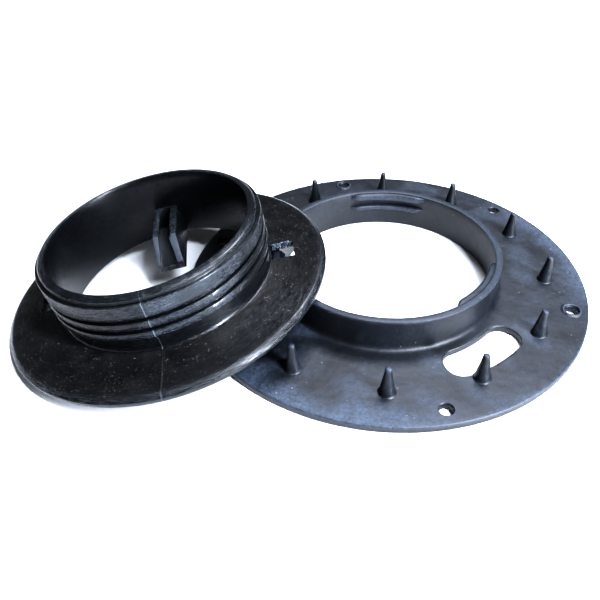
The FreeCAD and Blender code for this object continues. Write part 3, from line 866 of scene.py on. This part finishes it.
LUG_BEARING = 106.0
LUG_END = 8.0
LUG_END_TOP = 3.8
LUG_TOP = 12.7
SLOPE_START = 18.0
LUG_SIDE = ((LUG_END, 0.0), (43.2, 0.0), (43.2, LUG_TOP), (SLOPE_START, LUG_TOP), (LUG_END, LUG_END_TOP))
LUG_WIDTH = (-6.2, 4.6)
LUG_DRAFT = 0.11
CHANNEL_WIDTH = (-3.0, 1.8)
CHANNEL_SPREAD = (-1.7, 1.4)
CHANNEL_RUN = 12.0
CHANNEL_SIDE = ((6.0, 1.2), (SLOPE_START, 10.7), (26.0, 11.5), (26.0, 3.0), (41.6, 3.0), (41.6, 15.0))
CHANNEL_SIDE += ((SLOPE_START, 15.0), (6.0, 15.0))


def lug_width(side, u, h):
    """Where one side of the lug stands: the side towards the parting line widens towards the disc."""
    return LUG_WIDTH[side] - (0.0 if side else LUG_DRAFT * (LUG_TOP - h))


def channel_width(side, u, h):
    """Where one side of the channel stands: it opens out down the slope towards the snapped end."""
    return CHANNEL_WIDTH[side] + CHANNEL_SPREAD[side] * max(0.0, SLOPE_START - u) / CHANNEL_RUN


def side_block(outline, width):
    """A flat outline in the upright plane of the lug's bearing, made thick across it."""
    built = bmesh.new()
    add_block(built, [[Vector((u, width(side, u, h), h)) for u, h in outline] for side in (0, 1)])
    return built


def torn_skin(columns, levels, point_at):
    """A plain back sheet and a lumpy front sheet, joined round their edges; point_at places each point."""
    built = bmesh.new()
    rings = []
    for back in (True, False):
        for j in range(levels + 1):
            t = j / levels if back else 1 - j / levels
            rings.append([point_at(i, t, back) for i in range(columns + 1)])
    rows = add_rings(built, rings, cyclic=False)
    for column in (0, -1):
        built.faces.new([row[column] for row in rows])
    return built


class FLANGE_OT_lug(bpy.types.Operator):
    """Build the channelled lug inside the bore, with its snapped end"""

    bl_idname = "flange.lug"
    bl_label = "Channelled Lug"

    def execute(self, context):
        place = flange_place(LUG_BEARING)
        channel = loose_object("channel_cutter", side_block(CHANNEL_SIDE, channel_width), place)
        built = side_block(LUG_SIDE, lug_width)
        material = finish_named(moulded_polypropylene_satin)
        piece = finish_piece("channelled_lug", built, FLANGE_BODY, material, place)
        cut_with(piece, [channel])
        round_block(piece, 0.4)
        paint_wear(piece, lug_wear)
        settle(piece)
        self.torn_end(place)
        return {"FINISHED"}

    def torn_end(self, place):
        """The snapped end is a lumpy skin over the lug's lower face."""
        columns = 22
        channel = (channel_width(0, LUG_END, 0.0) - 0.2, channel_width(1, LUG_END, 0.0) + 0.2)

        def point_at(i, t, back):
            low = lug_width(0, LUG_END, 3.3 * t) + 0.25
            w = low + (LUG_WIDTH[1] - 0.25 - low) * i / columns
            h = 0.2 + (2.4 if channel[0] < w < channel[1] else 3.3) * t
            edge = min(1.0, min(i, columns - i) / 3, min(t, 1 - t) * 4)
            lump = (0.35 + abs(wave((w, h, 2), 1.1, 1.5, 9.0))) * edge
            return Vector((LUG_END + 1.2 if back else LUG_END - 0.1 - lump, w, h))

        built = torn_skin(columns, 9, point_at)
        material = finish_named(torn_polypropylene)
        piece = finish_piece("lug_torn_end", built, FLANGE_BODY, material, place, smooth_angle=25)
        paint_wear(piece, lambda point: 0.12)
        settle(piece)


def round_block(piece, width):
    """Break a block's edges by a small rounded bevel, in millimetres."""
    bevel = piece.modifiers.new("edges", "BEVEL")
    bevel.width = width * MM
    bevel.segments = 3
    bevel.limit_method = "ANGLE"
    bevel.angle_limit = math.radians(25)
    apply_modifiers(piece)
    piece.data.shade_smooth()
    piece.data.set_sharp_from_angle(angle=math.radians(50))


def lug_wear(point):
    """Rubbed tops of the two rails; the paler slope is painted highlight over the rubbing."""
    slope = LUG_TOP if point.x > SLOPE_START else LUG_END_TOP + (point.x - LUG_END) * 0.89
    # The slope's rails are painted paler than the flat: painted highlight.
    rub_and_highlight = 0.5 if point.x > SLOPE_START - 0.2 else 1.2
    return 0.12 + rub_and_highlight * smooth_step(point.z, slope - 0.6, slope - 0.1)


class FLANGE_OT_window_tear(bpy.types.Operator):
    """Build the torn plastic on the far wall of the window beside the plate"""

    bl_idname = "flange.window_tear"
    bl_label = "Window Tear"

    def execute(self, context):
        columns = 26

        def point_at(i, t, back):
            x = 46.4 + 9.0 * i / columns
            h = 0.3 + 2.7 * t
            edge = min(1.0, min(i, columns - i) / 3, t * 5)
            lump = (0.15 + abs(wave((x, h, 7), 1.0, 1.3, 1.0))) * edge
            ragged = abs(wave((x, 0, 3), 0.9, 1.1, 2.0)) * t
            return Vector((x, 5.9 if back else 5.1 - lump, h + ragged * 0.6))

        built = torn_skin(columns, 8, point_at)
        place = flange_place(WINDOW_BEARINGS[0])
        material = finish_named(torn_polypropylene)
        piece = finish_piece("window_tear", built, FLANGE_BODY, material, place, smooth_angle=25)
        paint_wear(piece, lambda point: 0.85)
        settle(piece)
        return {"FINISHED"}


# ---------------------------------------------------------------- stage

FLOOR_HALF = 12.0
FLOOR_DROP = 0.0002
FOCAL_LENGTH = 37.86
SENSOR_WIDTH = 36.0
LENS_SHIFT = (-0.0082, -0.026)
CAMERA_PLACE = (0.0, -0.2328, 0.1813)
CAMERA_TURNS = ((9.03, "Z"), (51.34, "X"), (-1.17, "Z"))


def add_softbox(name, place, aim, size, power, colour):
    lamp = bpy.data.lights.new(name, "AREA")
    lamp.shape = "RECTANGLE"
    lamp.size, lamp.size_y = size
    lamp.energy = power
    lamp.color = linear(colour)[:3]
    box = bpy.data.objects.new(name, lamp)
    box.location = place
    box.rotation_euler = (Vector(aim) - Vector(place)).to_track_quat("-Z", "Y").to_euler()
    box.visible_camera = False
    bpy.context.scene.collection.objects.link(box)


class FLANGE_OT_stage(bpy.types.Operator):
    """Set the pale floor, the soft light and the camera"""

    bl_idname = "flange.stage"
    bl_label = "Stage"

    def execute(self, context):
        scene = context.scene
        floor_mesh = bpy.data.meshes.new("floor")
        half = FLOOR_HALF
        corners = [(-half, -half, 0), (half, -half, 0), (half, half, 0), (-half, half, 0)]
        floor_mesh.from_pydata(corners, [], [(0, 1, 2, 3)])
        floor_mesh.materials.append(finish_named(matte_board))
        floor = bpy.data.objects.new("floor", floor_mesh)
        floor.location.z = -FLOOR_DROP
        scene.collection.objects.link(floor)
        world = bpy.data.worlds.new("studio")
        world.use_nodes = True
        sky = world.node_tree.nodes["Background"]
        sky.inputs["Color"].default_value = linear("#E4E9EF")
        sky.inputs["Strength"].default_value = 0.13
        scene.world = world
        scene.view_settings.view_transform = "Standard"
        scene.view_settings.look = "High Contrast"
        add_softbox("window_light", (0.15, 0.5, 1.15), (0.0, 0.0, 0.0), (0.5, 0.4), 19.0, "#EAF0FF")
        add_softbox("strip_light", (0.412, -0.333, 0.374), (-0.06, -0.06, 0.02), (0.06, 0.85), 22.0, "#E6EFFF")
        lens = bpy.data.cameras.new("camera")
        lens.lens = FOCAL_LENGTH
        lens.sensor_width = SENSOR_WIDTH
        lens.shift_x, lens.shift_y = LENS_SHIFT
        lens.clip_start, lens.clip_end = 0.01, 20.0
        camera = bpy.data.objects.new("camera", lens)
        turn = Matrix.Identity(4)
        for angle, axis in CAMERA_TURNS:
            turn = turn @ Matrix.Rotation(math.radians(angle), 4, axis)
        camera.matrix_world = Matrix.Translation(CAMERA_PLACE) @ turn
        scene.collection.objects.link(camera)
        scene.camera = camera
        return {"FINISHED"}


OPERATORS = (
    FLANGE_OT_stage,
    FLANGE_OT_floor_plate,
    FLANGE_OT_spikes,
    FLANGE_OT_collar_ridges,
    FLANGE_OT_hole_lips,
    FLANGE_OT_spigot_and_disc,
    FLANGE_OT_lug,
    FLANGE_OT_window_tear,
)


class FLANGE_PT_panel(bpy.types.Panel):
    bl_label = "Toilet Flange"
    bl_idname = "FLANGE_PT_panel"
    bl_space_type = "VIEW_3D"
    bl_region_type = "UI"
    bl_category = "Toilet Flange"

    def draw(self, context):
        for group in (context.scene.flange_plate, context.scene.flange_spigot, context.scene.flange_finish):
            box = self.layout.box()
            for name in group.__annotations__:
                box.prop(group, name)
        for operator in OPERATORS:
            self.layout.operator(operator.bl_idname)


SETTINGS = {"flange_plate": PlateSettings, "flange_spigot": FlangeSettings, "flange_finish": FinishSettings}


def register():
    for kind in (*SETTINGS.values(), *OPERATORS, FLANGE_PT_panel):
        bpy.utils.register_class(kind)
    for name, kind in SETTINGS.items():
        setattr(bpy.types.Scene, name, PointerProperty(type=kind))


def unregister():
    for name in SETTINGS:
        delattr(bpy.types.Scene, name)
    for kind in (FLANGE_PT_panel, *reversed(OPERATORS), *SETTINGS.values()):
        bpy.utils.unregister_class(kind)


def main():
    register()
    for operator in OPERATORS:
        group, name = operator.bl_idname.split(".")
        getattr(getattr(bpy.ops, group), name)()


if __name__ == "__main__":
    main()
